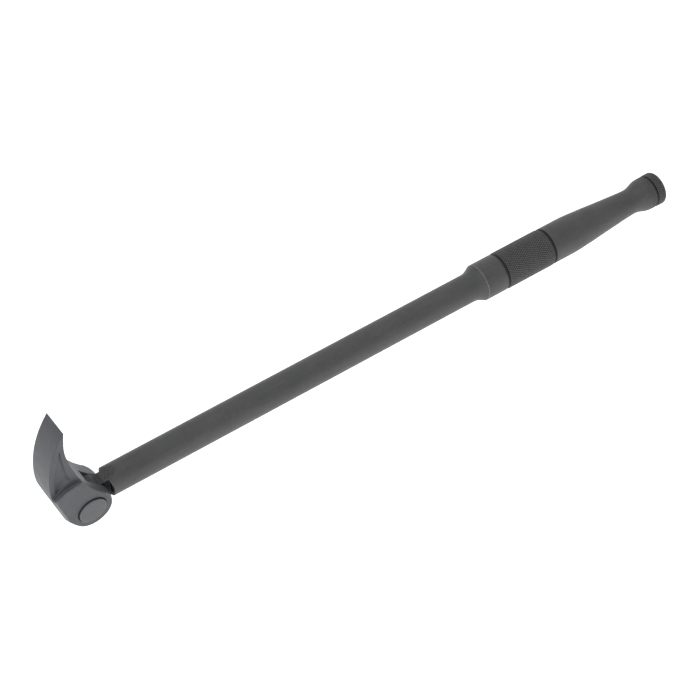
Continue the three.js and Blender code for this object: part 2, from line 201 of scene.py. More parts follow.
def smooth_max(a, b, width):
    """max(a, b) with the crossing rounded over about width."""
    h = np.maximum(width - np.abs(a - b), 0) / width
    return np.maximum(a, b) + h * h * width * 0.25


def smooth_min(a, b, width):
    return -smooth_max(-a, -b, width)


def band(radius, limit, y, middle, half):
    """A disc of radius limit about the pivot axis, half thick either side of y = middle."""
    return np.maximum(radius - limit, np.abs(y - middle) - half)


def spline_hole(x, z):
    """The splined hole's endless prism along Y."""
    pitch = 2 * math.pi / TEETH
    angle = np.arctan2(z, x)
    phase = np.abs((angle + pitch / 2) % pitch - pitch / 2) / pitch
    wall = np.interp(phase, TOOTH_PHASE, TOOTH_RADIUS) + HOLE_GROWTH
    return (np.hypot(x, z) - wall) * SPLINE_SLOPE


def gradient(sdf, points, reach):
    slope = np.empty_like(points)
    for i in range(3):
        shift = np.zeros(3)
        shift[i] = reach
        slope[:, i] = (sdf(*(points + shift).T) - sdf(*(points - shift).T)) / (2 * reach)
    return slope


def surface_net(sdf, low, high, step):
    """Vertices, quads and unit normals of the surface sdf = 0."""
    counts = [int(math.ceil((high[i] - low[i]) / step)) + 1 for i in range(3)]
    axes = [low[i] + step * np.arange(counts[i]) for i in range(3)]
    values = np.empty(counts, dtype=np.float32)
    slab = 24  # layers sampled at a time, to save memory
    for start in range(0, counts[0], slab):
        grid = np.meshgrid(axes[0][start:start + slab], axes[1], axes[2], indexing="ij")
        sampled = sdf(*(g.ravel() for g in grid))
        values[start:start + slab] = sampled.reshape(grid[0].shape)
    inside = values < 0

    # one vertex in each cell that the surface passes through
    corners = [(i, j, k) for i in (0, 1) for j in (0, 1) for k in (0, 1)]
    inside_count = np.zeros([n - 1 for n in counts], np.int8)
    for corner in corners:
        inside_count += inside[tuple(slice(c, n - 1 + c) for c, n in zip(corner, counts))]
    active = (inside_count > 0) & (inside_count < 8)
    cells = np.argwhere(active)
    cell_id = np.full(active.shape, -1, np.int64)
    cell_id[active] = np.arange(len(cells))

    # it starts at the mean of the crossings on the cell's edges
    total = np.zeros((len(cells), 3))
    hits = np.zeros(len(cells))
    for a in range(8):
        for b in range(a + 1, 8):
            corner_a, corner_b = np.array(corners[a]), np.array(corners[b])
            if np.abs(corner_a - corner_b).sum() != 1:
                continue
            value_a = values[tuple((cells + corner_a).T)]
            value_b = values[tuple((cells + corner_b).T)]
            crossed = (value_a < 0) != (value_b < 0)
            t = np.where(crossed, value_a / np.where(crossed, value_a - value_b, 1), 0)
            total[crossed] += (corner_a + t[:, None] * (corner_b - corner_a))[crossed]
            hits[crossed] += 1
    vertices = np.asarray(low) + step * (cells + total / hits[:, None])

    # one quad round each grid edge that the surface crosses
    quads = []
    for axis in range(3):
        u, w = (axis + 1) % 3, (axis + 2) % 3
        first = [slice(1, n - 1) for n in counts]
        first[axis] = slice(0, counts[axis] - 1)
        second = list(first)
        second[axis] = slice(1, counts[axis])
        inside_first = inside[tuple(first)]
        crossed = inside_first != inside[tuple(second)]
        around = []
        for du, dw in ((0, 0), (1, 0), (1, 1), (0, 1)):
            cell = np.argwhere(crossed)
            cell[:, u] += du
            cell[:, w] += dw
            around.append(cell_id[tuple(cell.T)])
        quad = np.stack(around, axis=1)
        quads.append(np.where(inside_first[crossed][:, None], quad, quad[:, ::-1]))

    # pull the vertices on to the surface, in short steps
    for _ in range(3):
        slope = gradient(sdf, vertices, 0.04)
        steepness = np.maximum((slope * slope).sum(1), 0.2)
        move = -(sdf(*vertices.T) / steepness)[:, None] * slope
        distance = np.linalg.norm(move, axis=1)
        move *= np.minimum(1, 0.4 * step / np.maximum(distance, 1e-9))[:, None]
        vertices += move
    slope = gradient(sdf, vertices, 0.06)
    normals = slope / np.maximum(np.linalg.norm(slope, axis=1), 1e-9)[:, None]
    return vertices, np.vstack(quads), normals


def edge_masks(sdf, vertices, normals, reach):
    """How convex and how concave the surface is within about reach: 0 on a flat, 1 at most."""
    below, above = vertices - reach * normals, vertices + reach * normals
    edge = clip01((sdf(*below.T) + reach) / reach)
    cavity = clip01((reach - sdf(*above.T)) / reach)
    return edge, cavity


# ------------------------------------------------------------------ head
SLOT_R = 17.7
CHEEK_HALF = 12.0  # the thick lower part
LAND_HALF = 10.4  # the narrow step between cheek and blade
BLADE_HALF = 8.8
BLADE_TAPER = 0.1  # lost from each side by the tip
TAPER_Z, TAPER_LENGTH = 27, 47.3
POCKET_HALF = 7.6  # half the thickness left between the pockets in the blade's sides

# Counterbores about the pivot axis, as radii and places along Y
BUTTON_BORE_R, BUTTON_BORE_FLOOR = 8.99, -7.6
SPLINE_MIDDLE, SPLINE_HALF = -5.9, 2.2
FAR_BORE_R, FAR_BORE_MIDDLE, FAR_BORE_HALF = 9.0, 6.8, 3.2
CAP_BORE_R, CAP_BORE_FLOOR = 9.95, 9.6
RING_GROOVE_R, RING_GROOVE_MIDDLE, RING_GROOVE_HALF = 10.6, 11.4, 0.55

# Outlines as (x, z). The convex edge is on the -X side and runs down from the tip.
CONVEX_EDGE = [
    (-11.35, 74.3), (-14.75, 68.5), (-17.65, 62.2), (-19.9, 55.8), (-21.5, 49.4), (-22.7, 41.4),
    (-23.15, 33.4), (-22.95, 27), (-22.1, 20.65), (-20.65, 15.15), (-19.0, 9.7), (-17.5, 4.9),
    (-16.3, 1.0), (-15.15, -2.2), (-13.4, -5.05), (-11.6, -7.75),
]
CONCAVE_EDGE = [
    (14, 0.5), (13.4, 2.6), (11.3, 5.8), (7.2, 10.2), (3.5, 14.7), (0.5, 19.1), (-2.2, 23.7),
    (-5.45, 32), (-8, 40), (-9.85, 47.3), (-11.2, 54), (-11.75, 60), (-11.6, 66.6), (-11, 74),
]
# Tops of the cheeks and of the land; they run on past the blade's outline, which bounds them.
CHEEK_TOP = [
    (-1.7, 26.5), (-4.01, 27.22), (-6.62, 27.82), (-8.34, 27.89), (-10.17, 27.82),
    (-11.98, 27.48), (-13.8, 27.04), (-15.52, 26.35), (-17.18, 25.49), (-18.81, 24.57),
    (-20.34, 23.47), (-22.0, 22.15), (-26.0, 18.9),
]
LAND_TOP = [
    (-1.7, 26.8), (-4.11, 27.55), (-6.85, 28.22), (-8.69, 28.36), (-10.48, 28.31),
    (-12.33, 28.03), (-14.14, 27.6), (-15.87, 26.9), (-17.49, 25.96), (-19.08, 24.94),
    (-20.54, 23.8), (-22.08, 22.55), (-26.0, 19.4),
]
BELOW_TOPS = [(-30.0, 15.0), (-30.0, -30.0), (30.0, -30.0), (30.0, 24.0), (3.0, 24.0)]
# The pocket's three sides: down beside the convex edge, across the foot, up the concave edge.
POCKET_CONVEX_SIDE = [
    (-14.71, 60.85), (-16.12, 56.34), (-17.89, 50.19), (-19.15, 43.5), (-19.81, 36.49),
    (-19.95, 30.75), (-19.72, 26.82),
]
POCKET_FOOT = [
    (-19.21, 26.34), (-18.14, 27.31), (-16.53, 28.27), (-14.83, 29.04), (-13.06, 29.58),
    (-11.28, 29.96), (-9.42, 30.01), (-8.1, 29.85),
]
POCKET_CONCAVE_SIDE = [
    (-7.46, 30.12), (-9.18, 33.62), (-11.4, 39.79), (-13.23, 46.58), (-14.21, 53.37),
    (-14.69, 60.6),
]


def round_end(stop):
    """The head's round lower end, from the foot of the convex edge."""
    return arc(13.52, 224, stop) + np.array([0.6, -1.4])


outline_field = OutlineField(np.vstack([
    smooth_curve(CONVEX_EDGE, 90), round_end(363), smooth_curve(CONCAVE_EDGE, 90),
]))
cheek_field = OutlineField(np.vstack([smooth_curve(CHEEK_TOP, 80), BELOW_TOPS]))
land_field = OutlineField(np.vstack([smooth_curve(LAND_TOP, 80), BELOW_TOPS]))
pocket_field = OutlineField(np.vstack([
    smooth_curve(POCKET_CONVEX_SIDE, 50), smooth_curve(POCKET_FOOT, 40),
    smooth_curve(POCKET_CONCAVE_SIDE, 40),
]))
slot_field = OutlineField(np.vstack([
    arc(SLOT_R, 40, 196), [(-30, -8), (-30, -30), (40, -30), (40, 12.2)],
]))
# the part of the outline along which the cheeks are broadly rounded
cheek_edge_field = OutlineField(np.vstack([
    [(-2, 45), (-30, 45)], smooth_curve(CONVEX_EDGE[5:], 60), round_end(400),
    [(30, 9.0), (30, 45)],
]))


def head_sdf(x, y, z):
    side = np.abs(y)
    outline = outline_field(x, z)
    blade_half = BLADE_HALF - BLADE_TAPER * clip01((z - TAPER_Z) / TAPER_LENGTH)
    blade = rounded(outline, side - blade_half, 0.4)
    # the pocket's wall is steep by the convex edge and dies away softly by the concave edge
    softness = clip01((x - (-17.2 + 0.17 * (z - 32))) / 6.0)
    pocket = smooth_max(pocket_field(x, z), POCKET_HALF - side, 0.5 + 4.5 * softness)
    blade = smooth_max(blade, -pocket, 0.4)

    cheek = rounded(smooth_max(outline, cheek_field(x, z), 0.5), side - CHEEK_HALF, 0.55)
    land = rounded(smooth_max(outline, land_field(x, z), 0.4), side - LAND_HALF, 0.3)
    broad = rounded(cheek_edge_field(x, z), side - CHEEK_HALF - 0.01, 1.7, 6.0)
    cheek = np.maximum(smooth_min(cheek, land, 0.15), broad)
    body = smooth_min(blade, cheek, 0.45)
    slot = np.maximum(slot_field(x, z), side - SLOT_HALF)
    body = smooth_max(body, -slot, 0.45)

    radius = np.hypot(x, z)
    button_bore = np.maximum(radius - BUTTON_BORE_R, y - BUTTON_BORE_FLOOR)
    teeth = np.maximum(spline_hole(x, z), np.abs(y - SPLINE_MIDDLE) - SPLINE_HALF)
    cap_bore = np.maximum(radius - CAP_BORE_R, CAP_BORE_FLOOR - y)
    body = smooth_max(body, -button_bore, 0.4)
    body = np.maximum(body, -teeth)
    body = np.maximum(body, -band(radius, FAR_BORE_R, y, FAR_BORE_MIDDLE, FAR_BORE_HALF))
    body = smooth_max(body, -cap_bore, 0.3)
    groove = band(radius, RING_GROOVE_R, y, RING_GROOVE_MIDDLE, RING_GROOVE_HALF)
    return np.maximum(body, -groove)


def build_head():
    vertices, quads, normals = surface_net(
        head_sdf, (-24.6, -13.0, -16.3), (15.6, 13.0, 75.6), MESH_STEP
    )
    edge, cavity = edge_masks(head_sdf, vertices, normals, 0.9)
    # the tip is ground, not worn, and the flat sides have no wear
    edge = edge * (1 - 0.75 * clip01((vertices[:, 2] - 69.0) / 2.5))
    edge = edge * (1 - clip01((np.abs(normals[:, 1]) - 0.9) / 0.08))
    return make_object(
        "head_forging", vertices, quads.tolist(), {"edge": edge, "cavity": cavity},
        normals=normals,
    )


head = build_head()
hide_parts("pry_head")
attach(head, "head")

# ------------------------------------------------------------------ bar: turned part with knurls
BAR_DATUM = 0.9  # turned lengths are taken from a datum this far from the pivot axis
BUTT = PIVOT_TO_BUTT - BAR_DATUM
JOIN_X = 27.0  # where the turned part meets the forked end
GRIP_R = 11.83
KNURL_R = 12.0
KNURL_DEPTH = 0.34
DIAMONDS = 52  # round the bar
COLS = 4 * DIAMONDS  # vertices round the bar
KNURL_PITCH = 2 * math.pi * KNURL_R / DIAMONDS
KNURL_LENGTH = KNURL_PITCH / math.tan(math.radians(30))  # of a diamond, along the bar

# Smooth curves as (x, radius)
SHOULDER_CURVE = [
    (266, SHAFT_R), (270.5, 9.03), (272.4, 9.1), (273.6, 9.25), (274.9, 9.6), (276.2, 10.08),
    (277.6, 10.78), (278.7, 11.38), (279.25, 11.68),
]
WAIST_CURVE = [
    (336, GRIP_R), (343, 11.84), (349.0, 11.80), (353.4, 11.6), (358.0, 11.26), (364.5, 10.78),
    (373.3, 10.0), (381.8, 9.31), (390.4, 8.58), (395.5, 8.24), (398.6, 8.12), (400.8, 8.24),
    (402.8, 8.62), (404.7, 9.2), (406.4, 9.78), (407.8, 10.17), (408.6, 10.31),
]
FLARE = np.array([(407.8, 10.19), (408.6, 10.33), (409.6, 10.44), (411.0, 10.52), (414, 10.53)])
# Profiles with corners as (x, radius, fillet radius, wear, painted shade)
GRIP_RIM = [
    (279.25, 11.68, 0, 0.35, 0), (279.42, 11.78, 0.12, 1.0, 0), (280.0, 11.80, 0, 0.35, 0),
    (280.8, 11.81, 0, 0, 0),
]
HEAD_SIDE_GROOVE = [
    (293.2, GRIP_R, 0, 0, 0), (294.2, GRIP_R, 0.12, 0.2, 0), (294.34, 11.6, 0, 0, 1),
    (294.42, 10.9, 0.15, 0, 1), (296.0, 10.9, 0.15, 0, 1), (296.2, 11.5, 0, 0, 1),
]
BUTT_SIDE_GROOVE = [
    (330.5, 11.5, 0, 0, 1), (330.7, 10.9, 0.15, 0, 1), (332.2, 10.9, 0.15, 0, 1),
    (332.3, 11.6, 0, 0, 1), (332.44, GRIP_R, 0.12, 0.2, 0), (333.6, GRIP_R, 0, 0, 0),
]
POMMEL_GROOVE = [
    (413.92, 10.2, 0, 0, 1), (414.05, 9.7, 0.12, 0, 1), (415.3, 9.7, 0.12, 0, 1),
    (415.45, 10.2, 0, 0, 1),
]
BUTT_END = [
    (420.9, 10.35, 0, 0.4, 0), (BUTT - 0.12, 10.1, 0.12, 0.5, 0), (BUTT, 9.9, 0.1, 0.3, 0),
    (BUTT, 7.5, 0, 0, 0), (BUTT, 3.0, 0, 0, 0),
]


def fillet(points):
    """Rounds the corners of a profile and drops the fillet column: (x, radius, wear, painted shade).
    """
    profile = []
    places = [np.array(point[:2], float) for point in points]
    for i, (_, _, radius, wear, recess_shade) in enumerate(points):
        here = places[i]
        if radius <= 0 or i in (0, len(points) - 1):
            profile.append((*here, wear, recess_shade))
            continue
        back, ahead = places[i - 1] - here, places[i + 1] - here
        back_length, ahead_length = np.linalg.norm(back), np.linalg.norm(ahead)
        back, ahead = back / back_length, ahead / ahead_length
        corner = math.acos(float(np.clip(back @ ahead, -1, 1)))
        # the fillet takes less than half of either side
        cut = min(radius / math.tan(corner / 2), 0.45 * back_length, 0.45 * ahead_length)
        fitted = cut * math.tan(corner / 2)
        middle = back + ahead
        centre = here + middle / np.linalg.norm(middle) * (fitted / math.sin(corner / 2))
        start, end = here + back * cut - centre, here + ahead * cut - centre
        steps = max(2, int(math.degrees(math.pi - corner) / 18) + 1)
        first = math.atan2(start[1], start[0])
        sweep = (math.atan2(end[1], end[0]) - first + math.pi) % (2 * math.pi) - math.pi
        for k in range(steps + 1):
            t = first + sweep * k / steps
            profile.append((
                centre[0] + fitted * math.cos(t), centre[1] + fitted * math.sin(t), wear, recess_shade,
            ))
    return profile


def clean(curve):
    """A profile without wear or painted shade."""
    return [(x, radius, 0, 0) for x, radius in curve]


def straight(start, stop, radius, step):
    count = int((stop - start) / step)
    return clean((x, radius) for x in np.linspace(start, stop, count + 1))


def flare(x):
    return float(np.interp(x, FLARE[:, 0], FLARE[:, 1]))


class TurnedBar:
    """Rows of vertices round X. A knurl's odd rows are half a step round from the others."""

    def __init__(self):
        self.points, self.odds, self.wear, self.recess_shade = [], [], [], []
        self.faces, self.smooth = [], []

    def row(self, x, radii, odd=0, wear=0.0, recess_shade=0.0):
        angle = (np.arange(COLS) * 2 + odd) * math.pi / COLS
        place = np.full(COLS, x + BAR_DATUM)
        self.points.append(np.c_[place, -radii * np.cos(angle), radii * np.sin(angle)])
        self.odds.append(odd)
        self.wear.append(np.broadcast_to(wear, (COLS,)))
        self.recess_shade.append(np.broadcast_to(recess_shade, (COLS,)))

    def join(self, smooth):
        """Faces between the last two rows."""
        b = COLS * (len(self.odds) - 1)
        a = b - COLS
        turn = self.odds[-1] - self.odds[-2]
        steps = [(s, (s + 1) % COLS) for s in range(COLS)]
        if turn == 0:
            faces = [[a + s, a + t, b + t, b + s] for s, t in steps]
        elif turn > 0:  # the new row is half a step ahead
            faces = [[a + s, a + t, b + s] for s, t in steps]
            faces += [[b + s, a + t, b + t] for s, t in steps]
        else:
            faces = [[a + s, b + t, b + s] for s, t in steps]
            faces += [[a + s, a + t, b + t] for s, t in steps]
        self.faces += faces
        self.smooth += [smooth] * len(faces)

    def plain(self, profile):
        for x, radius, wear, recess_shade in profile:
            self.row(x, radius, 0, wear, recess_shade)
            if len(self.odds) > 1:
                self.join(True)

    def knurl(self, start, stop, radius_at, depth, fade=0.0):
        """Diamonds on the radius radius_at(x), growing to full depth over the length fade."""
        count = max(4, int(round((stop - start) / (KNURL_LENGTH / 8) / 2)) * 2)
        for k in range(count + 1):
            x = start + (stop - start) * k / count
            odd = k % 2
            around = np.arange(COLS) * 2 + odd
            crossing = [
                np.abs(t - np.round(t)) for t in ((k + around) / 8.0, (k - around) / 8.0)
            ]
            height = clip01(np.minimum(*crossing) / 0.25)
            if fade:
                end, share = 1.0, min(1.0, (x - start) / fade)
            else:
                end, share = min(1.0, min(x - start, stop - x) / 0.35 * 0.5 + 0.5), 1.0
            cut = depth * share
            # painted shade darkens the knurl's valleys
            self.row(
                x, radius_at(x) - cut * (1 - height * end), odd,
                wear=height * 0.55 * cut / depth, recess_shade=0.62 * (1 - height) * cut / depth,
            )
            self.join(fade > 0 and x - start < fade / 2)

    def close(self):
        """A flat disc on the last row."""
        start = COLS * (len(self.odds) - 1)
        centre = start + COLS
        self.points.append(np.array([[self.points[-1][0, 0], 0, 0]]))
        self.wear.append(np.zeros(1))
        self.recess_shade.append(np.zeros(1))
        self.faces += [[start + s, start + (s + 1) % COLS, centre] for s in range(COLS)]
        self.smooth += [False] * COLS


def turn_bar():
    bar = TurnedBar()
    bar.plain(straight(JOIN_X + 0.6, 262, SHAFT_R, step=7.0))
    bar.plain(clean(smooth_curve(SHOULDER_CURVE, 26)))
    bar.plain(fillet(GRIP_RIM)[1:])
    bar.plain(straight(283, 292, GRIP_R, step=4.0))
    bar.plain(fillet(HEAD_SIDE_GROOVE))
    bar.knurl(296.35, 330.35, lambda x: KNURL_R, KNURL_DEPTH)
    bar.plain(fillet(BUTT_SIDE_GROOVE))
    bar.plain(clean(smooth_curve(WAIST_CURVE, 90)))
    bar.knurl(408.7, 413.8, flare, depth=0.24, fade=2.6)
    bar.plain(fillet(POMMEL_GROOVE))
    bar.knurl(415.6, 420.75, lambda x: 10.68, KNURL_DEPTH)
    bar.plain(fillet(BUTT_END))
    bar.close()
    bar.faces = [f[::-1] for f in bar.faces]  # the rows run so that this is outwards
    return bar


# ------------------------------------------------------------------ bar: end at the pivot
SHOULDER_X = 16.7
END_LOW, END_HIGH = (-13.8, -9.8, -13.8), (JOIN_X + 1.5, 9.8, 13.8)
# Half height of the tongue as (x, z): level behind the eye, then a ramp up to the shaft.
RAMP = np.vstack([
    [(-40, 6.85)],
    smooth_curve([
        (12.4, 6.85), (13.3, 6.87), (14.5, 7.05), (16.7, 7.55), (19.3, 8.17), (21.9, 8.78),
        (23.5, 9.2),
    ], 40),
    [(60, 18.2)],
])


def ramp_height(x):
    return np.interp(x, RAMP[:, 0], RAMP[:, 1])


def bar_end_sdf(x, y, z):
    side = np.abs(y)
    rod = np.hypot(y, z) - SHAFT_R
    ramps = (np.abs(z) - ramp_height(x)) * 0.97
    stem = np.maximum(smooth_max(rod, ramps, 0.7), 3.0 - x)
    eye = np.hypot(x, z) - EYE_R
    tongue = rounded(smooth_min(stem, eye, 1.2), side - TONGUE_HALF, 0.35)
    # the shoulders beside the tongue lean towards the head above the bar's axis
    shoulder = SHOULDER_X - np.where(z > 0, z * z / 50.0, 0.0)
    beside = rounded((x - shoulder) * 0.97, TONGUE_HALF - side, 1.2)
    body = np.minimum(tongue, smooth_max(stem, -beside, 0.45))
    return smooth_max(body, -np.maximum(spline_hole(x, z), x - 12.0), 0.15)


def mesh_bar_end():
    """Vertices, quads, normals, edge and cavity of the end, cut off at the join."""
    vertices, quads, normals = surface_net(bar_end_sdf, END_LOW, END_HIGH, MESH_STEP)
    edge, cavity = edge_masks(bar_end_sdf, vertices, normals, 0.8)
    # whole layers are kept, so that the open edge is one ring round the shaft
    layer = np.floor((vertices[:, 0] - END_LOW[0]) / MESH_STEP + 1e-6).astype(int)
    kept = layer < int((JOIN_X - END_LOW[0]) / MESH_STEP)
    quads = quads[kept[quads].all(axis=1)]
    used = np.unique(quads)
    quads = np.searchsorted(used, quads)
    return vertices[used], quads, normals[used], edge[used], cavity[used]


def open_ring(quads):
    """The vertices along the open edge, in order."""
    half_edges = {
        (int(a), int(b)) for i in range(4) for a, b in zip(quads[:, i], quads[:, (i + 1) % 4])
    }
    follow = {b: a for a, b in half_edges if (b, a) not in half_edges}
    ring = [min(follow)]
    while follow[ring[-1]] != ring[0]:
        ring.append(follow[ring[-1]])
    assert len(ring) == len(follow), "the open edge of the bar's end is not one ring"
    return np.array(ring)


def turn_of(points):
    return np.mod(np.arctan2(points[:, 2], -points[:, 1]), 2 * math.pi)


def stitch(vertices, ring, base):
    """Triangles between the ring and the turned part's first row, which starts at base."""
    turns = turn_of(vertices[ring])
    row_turns = turn_of(vertices[base:base + COLS])
    # both loops go by rising angle from zero
    if np.sum(np.sign((np.diff(turns) + math.pi) % (2 * math.pi) - math.pi)) < 0:
        ring, turns = ring[::-1], turns[::-1]
    first = int(np.argmin(turns))
    ring, turns = np.roll(ring, -first), np.roll(turns, -first)
    # each loop comes back to its start, then waits for the other
    turns = np.append(turns, [turns[0] + 2 * math.pi, 1e9])
    row_turns = np.append(row_turns, [row_turns[0] + 2 * math.pi, 1e9])
    faces = []
    i = j = 0
    while i < len(ring) or j < COLS:
        face = [int(ring[i % len(ring)]), base + j % COLS]
        if turns[i + 1] <= row_turns[j + 1]:
            i += 1
            face.append(int(ring[i % len(ring)]))
        else:
            j += 1
            face.append(base + j % COLS)
        p = vertices[face]
        normal = np.cross(p[1] - p[0], p[2] - p[0])
        centre = p.mean(axis=0)
        outwards = normal[1] * centre[1] + normal[2] * centre[2] > 0
        faces.append(face if outwards else face[::-1])
    return faces


def skin_masks(vertices, normals):
    """The as-forged skin on ramps, neck and eye, and a mask of painted shade on the faces inside the
    joint.
    """
    x, y, z = vertices.T
    near_ramp = clip01(1.0 - (ramp_height(x) - np.abs(z)) / 0.5)
    on_ramp = near_ramp * clip01((23.2 - x) / 1.5) * (np.hypot(y, z) < 8.93)
    on_eye = clip01((13.5 - x) / 1.0)
    end_face = clip01((-normals[:, 0] - 0.6) / 0.3) * (x > 13.0)
    tongue_side = (np.abs(normals[:, 1]) > 0.8) * (x < SHOULDER_X + 0.5) * (np.abs(y) < 4.6)
    root = clip01((x - EYE_R) / 1.2) * clip01((16.85 - x) / 0.3) * clip01((5.0 - z) / 2.0)
    # painted shade: the shoulders' end faces, the tongue's sides, the lower root and part of the eye,
    # where the head's cheeks shade them
    gap_shade = np.maximum.reduce([end_face, tongue_side, 0.9 * root, 0.45 * on_eye])
    return np.maximum(on_ramp, on_eye), gap_shade


def build_bar():
    bar = turn_bar()
    end_vertices, quads, end_normals, edge, cavity = mesh_bar_end()
    turned_vertices = np.vstack(bar.points)
    vertices = np.vstack([end_vertices, turned_vertices])
    base = len(end_vertices)
    joined = quads.tolist() + stitch(vertices, open_ring(quads), base)
    faces = joined + [[base + k for k in f] for f in bar.faces]
    # the turned part's normals come from its faces, except where it meets the end
    normals = np.vstack([end_normals, np.zeros_like(turned_vertices)])
    normals[base:base + COLS, 1:] = turned_vertices[:COLS, 1:] / SHAFT_R
    cast, gap_shade = skin_masks(end_vertices, end_normals)
    no_skin = np.zeros(len(turned_vertices))
    attributes = {
        "edge": np.concatenate([edge] + bar.wear),
        "cavity": np.concatenate([cavity] + bar.recess_shade),
        "cast": np.concatenate([cast, no_skin]),
        "gap_shade": np.concatenate([gap_shade, no_skin]),
    }
    return make_object(
        "bar_with_grip", vertices, faces, attributes,
        smooth=[True] * len(joined) + bar.smooth, sharp_degrees=35, normals=normals,
    )


turned = build_bar()
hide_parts("bar")
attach(turned, "bar")

# ------------------------------------------------------------------ button and end cap
DISC_COLS = 160
# Profiles as (radius, y, fillet radius, wear, painted shade), from axis to axis
BUTTON_PROFILE = [
    (0, -11.2, 0, 0, 0), (8.0, -11.2, 0, 0, 1), (8.55, -11.2, 0.15, 0, 1),
    (8.72, -11.35, 0.1, 0, 1), (8.72, -12.1, 0, 0, 1), (8.72, -12.5, 0.05, 0.0, 0.8),
    (8.66, -12.85, 0.12, 0.5, 0.1), (8.2, -13.12, 0.2, 0.7, 0), (7.8, -13.15, 0, 0.15, 0),
    (7.0, -13.17, 0, 0, 0), (5.0, -13.2, 0, 0, 0), (2.5, -13.22, 0, 0, 0), (0, -13.22, 0, 0, 0),
]
CAP_PROFILE = [
    (0, 9.65, 0, 0, 0), (9.5, 9.65, 0.1, 0, 0), (9.8, 9.9, 0.1, 0, 0.5), (9.8, 10.55, 0, 0, 1),
    (9.55, 10.8, 0.12, 0.6, 0), (6.0, 10.8, 0, 0, 0), (3.2, 10.8, 0.1, 0.2, 0),
    (2.9, 10.5, 0.15, 0, 1), (0, 10.5, 0, 0, 0.4),
]


def build_disc(name, profile):
    """A closed solid turned about the pivot axis."""
    vertices, faces, rows, edge, cavity = [], [], [], [], []
    for y, radius, wear, recess_shade in fillet([(y, r, *rest) for r, y, *rest in profile]):
        count = 1 if radius < 1e-6 else DISC_COLS
        rows.append(range(len(vertices), len(vertices) + count))
        for k in range(count):
            angle = 2 * math.pi * k / DISC_COLS
            vertices.append((radius * math.cos(angle), y, radius * math.sin(angle)))
        edge += [wear] * count
        cavity += [recess_shade] * count
    for a, b in zip(rows, rows[1:]):
        for k in range(DISC_COLS):
            m = (k + 1) % DISC_COLS
            if len(a) == 1:
                faces.append([a[0], b[k], b[m]])
            elif len(b) == 1:
                faces.append([a[k], b[0], a[m]])
            else:
                faces.append([a[k], b[k], b[m], a[m]])
    vertices = np.array(vertices, float)
    return make_object(
        name, vertices, outward(vertices, faces), {"edge": edge, "cavity": cavity},
        sharp_degrees=32,
    )


button = build_disc("button_disc", BUTTON_PROFILE)
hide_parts("release_button")
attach(button, "lock")

cap = build_disc("far_end_cap", CAP_PROFILE)
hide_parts("end_cap")
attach(cap, "head")

# ------------------------------------------------------------------ return spring
COIL_R = 4.1
WIRE_R = 0.55
COIL_TURNS = 6
SPRING_START, SPRING_END = -4.9, 9.5  # along Y
SPRING_LENGTH = SPRING_END - SPRING_START
CLOSED_SHARE = 0.9 / COIL_TURNS  # of the wire, in each closed end coil
CLOSED_RISE = 0.054  # of the spring's length, over each closed end coil
WIRE_STEPS, WIRE_SIDES = ((420, 16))


def unit(vectors):
    return vectors / np.linalg.norm(vectors, axis=1)[:, None]


def build_spring():
    t = np.linspace(0, 1, WIRE_STEPS + 1)
    open_part = (t - CLOSED_SHARE) / (1 - 2 * CLOSED_SHARE) * (1 - 2 * CLOSED_RISE)
    rise = np.where(
        t < CLOSED_SHARE, t / CLOSED_SHARE * CLOSED_RISE,
        np.where(
            t > 1 - CLOSED_SHARE, 1 - (1 - t) / CLOSED_SHARE * CLOSED_RISE,
            CLOSED_RISE + open_part,
        ),
    )
    # a running mean of 25 steps softens the change of pitch
    padded = np.pad(rise, 12, mode="reflect", reflect_type="odd")
    rise = np.convolve(padded, np.ones(25) / 25, mode="same")[12:-12]
    angle = t * COIL_TURNS * 2 * math.pi
    along = SPRING_START + WIRE_R + rise * (SPRING_LENGTH - 2 * WIRE_R)
    path = np.c_[COIL_R * np.cos(angle), along, COIL_R * np.sin(angle)]
    tangent = unit(np.gradient(path, axis=0))
    radial = np.c_[np.cos(angle), np.zeros_like(angle), np.sin(angle)]
    binormal = unit(np.cross(tangent, radial))
    radial = np.cross(binormal, tangent)
    around = np.linspace(0, 2 * math.pi, WIRE_SIDES, endpoint=False)[None, :, None]
    section = np.cos(around) * radial[:, None] + np.sin(around) * binormal[:, None]
    vertices = (path[:, None] + WIRE_R * section).reshape(-1, 3)
    faces = []
    for i in range(WIRE_STEPS):
        a, b = i * WIRE_SIDES, (i + 1) * WIRE_SIDES
        for j in range(WIRE_SIDES):
            m = (j + 1) % WIRE_SIDES
            faces.append([a + j, a + m, b + m, b + j])
    faces.append(list(range(WIRE_SIDES))[::-1])
    faces.append([WIRE_STEPS * WIRE_SIDES + j for j in range(WIRE_SIDES)])
    unworn = np.zeros(len(vertices))
    return make_object(
        "coil_spring", vertices, outward(vertices, faces), {"edge": unworn, "cavity": unworn},
        sharp_degrees=40,
    )


spring = build_spring()
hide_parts("return_spring")
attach(spring, "head")
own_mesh(spring)


